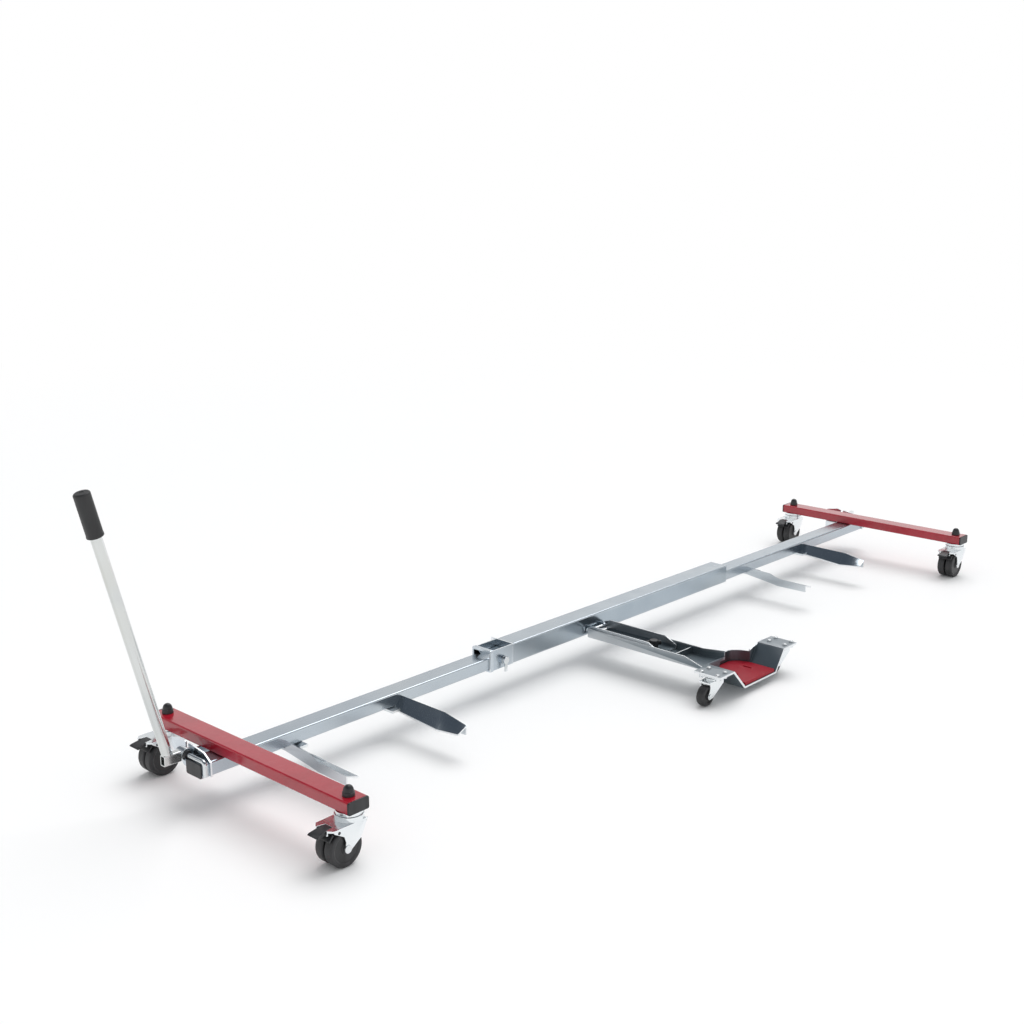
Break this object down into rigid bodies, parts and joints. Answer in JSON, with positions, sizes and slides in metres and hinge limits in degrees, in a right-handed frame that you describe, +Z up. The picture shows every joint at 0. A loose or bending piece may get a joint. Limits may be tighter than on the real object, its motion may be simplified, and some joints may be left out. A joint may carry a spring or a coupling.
{
  "type": "motorcycle mover dolly",
  "caption": "Low rolling dolly: telescoping zinc rail with tyre chocks, red caster beams, lift lever and a side-stand tray on its own casters.",
  "frame": {"origin": "On the floor, under the middle of the overall box with the lever up", "axes": "+X forward to the lever end, +Y to the side-plate side, +Z up"},
  "size_m": [2.8248, 0.691, 0.6684],
  "materials": {
    "red_paint": "gloss",
    "zinc": "bright zinc",
    "black_plastic": "satin",
    "wheel_black": "satin",
    "grip_rubber": "satin",
    "red_pad": "satin"
  },
  "bodies": {
    "frame": {"centre_rail": "zinc", "rail_collar": "zinc", "rear_rail": "zinc", "rear_rail_cap": "black_plastic", "rear_bracket": "zinc", "rear_pivot_rod": "zinc", "rear_leading_chock": "zinc", "rear_trailing_chock": "zinc", "rear_chock_bolts": "zinc", "arm_hinge_pin": "zinc"},
    "front_slide": {"front_rail": "zinc", "front_rail_cap": "black_plastic", "front_bracket": "zinc", "front_pivot_rod": "zinc", "lever_washer": "black_plastic", "front_leading_chock": "zinc", "front_trailing_chock": "zinc", "front_chock_bolts": "zinc"},
    "front_carriage": {"front_beam": "red_paint", "front_beam_end_caps": "black_plastic", "front_stems_and_nuts": "zinc", "front_dome_caps": "black_plastic", "front_lift_lug": "zinc"},
    "rear_carriage": {"rear_beam": "red_paint", "rear_beam_end_caps": "black_plastic", "rear_stems_and_nuts": "zinc", "rear_dome_caps": "black_plastic", "rear_lift_lug": "zinc"},
    "lever_arm": {"lever": "zinc", "lever_grip": "grip_rubber", "front_crank": "zinc"},
    "rear_lever_stub": {"rear_crank": "zinc"},
    "clamp_screw_body": {"clamp_screw": "zinc"},
    "arm": {"side_arm": "zinc", "clamp_bolt": "zinc"},
    "knob": {"wing_knob": "black_plastic"},
    "stand_tray": {"side_plate": "zinc", "tray_pad": "red_pad", "wing_bolts": "zinc", "small_caster_plates": "zinc"},
    "front_left_swivel": {"front_left_fork": "zinc", "front_left_axle": "zinc"},
    "front_left_wheel_pair": {"front_left_wheels": "wheel_black"},
    "front_left_pedal": {"front_left_brake_pedal": "black_plastic"},
    "front_right_swivel": {"front_right_fork": "zinc", "front_right_axle": "zinc"},
    "front_right_wheel_pair": {"front_right_wheels": "wheel_black"},
    "front_right_pedal": {"front_right_brake_pedal": "black_plastic"},
    "rear_left_swivel": {"rear_left_fork": "zinc", "rear_left_axle": "zinc"},
    "rear_left_wheel_pair": {"rear_left_wheels": "wheel_black"},
    "rear_left_pedal": {"rear_left_brake_pedal": "black_plastic"},
    "rear_right_swivel": {"rear_right_fork": "zinc", "rear_right_axle": "zinc"},
    "rear_right_wheel_pair": {"rear_right_wheels": "wheel_black"},
    "rear_right_pedal": {"rear_right_brake_pedal": "black_plastic"},
    "small_front_swivel": {"small_front_fork": "zinc"},
    "small_front_roller": {"small_front_wheel": "wheel_black"},
    "small_rear_swivel": {"small_rear_fork": "zinc"},
    "small_rear_roller": {"small_rear_wheel": "wheel_black"}
  },
  "joints": [
    {"name": "rail_slide", "type": "slide", "parent": "frame", "child": "front_slide", "axis": [1, 0, 0], "range_m": [-0.1, 0.12]},
    {"name": "lever_swing", "type": "hinge", "parent": "front_slide", "child": "lever_arm", "pos_m": [1.21864, -0.1555, 0.1052], "axis": [0, 1, 0], "range_deg": [0, 76]},
    {"name": "front_lift", "type": "slide", "parent": "front_slide", "child": "front_carriage", "axis": [0, 0, 1], "range_m": [0, 0.0452]},
    {"name": "rear_lift", "type": "slide", "parent": "frame", "child": "rear_carriage", "axis": [0, 0, 1], "range_m": [0, 0.04494]},
    {"name": "rear_crank_swing", "type": "hinge", "parent": "frame", "child": "rear_lever_stub", "pos_m": [-1.37736, -0.1555, 0.1052], "axis": [0, -1, 0], "range_deg": [0, 76.5]},
    {"name": "clamp_screw_turn", "type": "hinge", "parent": "frame", "child": "clamp_screw_body", "pos_m": [0.37064, -0.0855, 0.088], "axis": [0, 1, 0], "range_deg": [-90, 90]},
    {"name": "arm_hinge", "type": "hinge", "parent": "frame", "child": "arm", "pos_m": [0.02364, -0.0795, 0.082], "axis": [1, 0, 0], "range_deg": [-3, 10]},
    {"name": "tray_slide", "type": "slide", "parent": "arm", "child": "stand_tray", "axis": [0, 1, 0], "range_m": [0, 0.12]},
    {"name": "knob_turn", "type": "hinge", "parent": "arm", "child": "knob", "pos_m": [0.02364, 0.0985, 0.084], "axis": [0, 0, 1], "continuous": true},
    {"name": "front_left_swivel_turn", "type": "hinge", "parent": "front_carriage", "child": "front_left_swivel", "pos_m": [1.14864, 0.2565, 0.086], "axis": [0, 0, 1], "continuous": true},
    {"name": "front_left_wheel_roll", "type": "hinge", "parent": "front_left_swivel", "child": "front_left_wheel_pair", "pos_m": [1.17564, 0.2565, 0.0375], "axis": [0, 1, 0], "continuous": true},
    {"name": "front_left_brake_press", "type": "hinge", "parent": "front_left_swivel", "child": "front_left_pedal", "pos_m": [1.19464, 0.2565, 0.0755], "axis": [0, 1, 0], "range_deg": [0, 10]},
    {"name": "front_right_swivel_turn", "type": "hinge", "parent": "front_carriage", "child": "front_right_swivel", "pos_m": [1.14864, -0.3175, 0.086], "axis": [0, 0, 1], "continuous": true},
    {"name": "front_right_wheel_roll", "type": "hinge", "parent": "front_right_swivel", "child": "front_right_wheel_pair", "pos_m": [1.17564, -0.3175, 0.0375], "axis": [0, 1, 0], "continuous": true},
    {"name": "front_right_brake_press", "type": "hinge", "parent": "front_right_swivel", "child": "front_right_pedal", "pos_m": [1.19464, -0.3175, 0.0755], "axis": [0, 1, 0], "range_deg": [0, 10]},
    {"name": "rear_left_swivel_turn", "type": "hinge", "parent": "rear_carriage", "child": "rear_left_swivel", "pos_m": [-1.30736, 0.2565, 0.086], "axis": [0, 0, 1], "continuous": true},
    {"name": "rear_left_wheel_roll", "type": "hinge", "parent": "rear_left_swivel", "child": "rear_left_wheel_pair", "pos_m": [-1.28036, 0.2565, 0.0375], "axis": [0, 1, 0], "continuous": true},
    {"name": "rear_left_brake_press", "type": "hinge", "parent": "rear_left_swivel", "child": "rear_left_pedal", "pos_m": [-1.26136, 0.2565, 0.0755], "axis": [0, 1, 0], "range_deg": [0, 10]},
    {"name": "rear_right_swivel_turn", "type": "hinge", "parent": "rear_carriage", "child": "rear_right_swivel", "pos_m": [-1.30736, -0.3175, 0.086], "axis": [0, 0, 1], "continuous": true},
    {"name": "rear_right_wheel_roll", "type": "hinge", "parent": "rear_right_swivel", "child": "rear_right_wheel_pair", "pos_m": [-1.28036, -0.3175, 0.0375], "axis": [0, 1, 0], "continuous": true},
    {"name": "rear_right_brake_press", "type": "hinge", "parent": "rear_right_swivel", "child": "rear_right_pedal", "pos_m": [-1.26136, -0.3175, 0.0755], "axis": [0, 1, 0], "range_deg": [0, 10]},
    {"name": "small_front_swivel_turn", "type": "hinge", "parent": "stand_tray", "child": "small_front_swivel", "pos_m": [0.07364, 0.3105, 0.06], "axis": [0, 0, 1], "continuous": true},
    {"name": "small_front_wheel_roll", "type": "hinge", "parent": "small_front_swivel", "child": "small_front_roller", "pos_m": [0.10364, 0.3105, 0.025], "axis": [0, 1, 0], "continuous": true},
    {"name": "small_rear_swivel_turn", "type": "hinge", "parent": "stand_tray", "child": "small_rear_swivel", "pos_m": [-0.21836, 0.3105, 0.06], "axis": [0, 0, 1], "continuous": true},
    {"name": "small_rear_wheel_roll", "type": "hinge", "parent": "small_rear_swivel", "child": "small_rear_roller", "pos_m": [-0.18836, 0.3105, 0.025], "axis": [0, 1, 0], "continuous": true}
  ],
  "couplings": [
    {"joint": "front_lift", "follows": "lever_swing", "m_per_rad": 0.033882},
    {"joint": "rear_crank_swing", "follows": "rear_lift", "rad_per_m": 29.514}
  ]
}
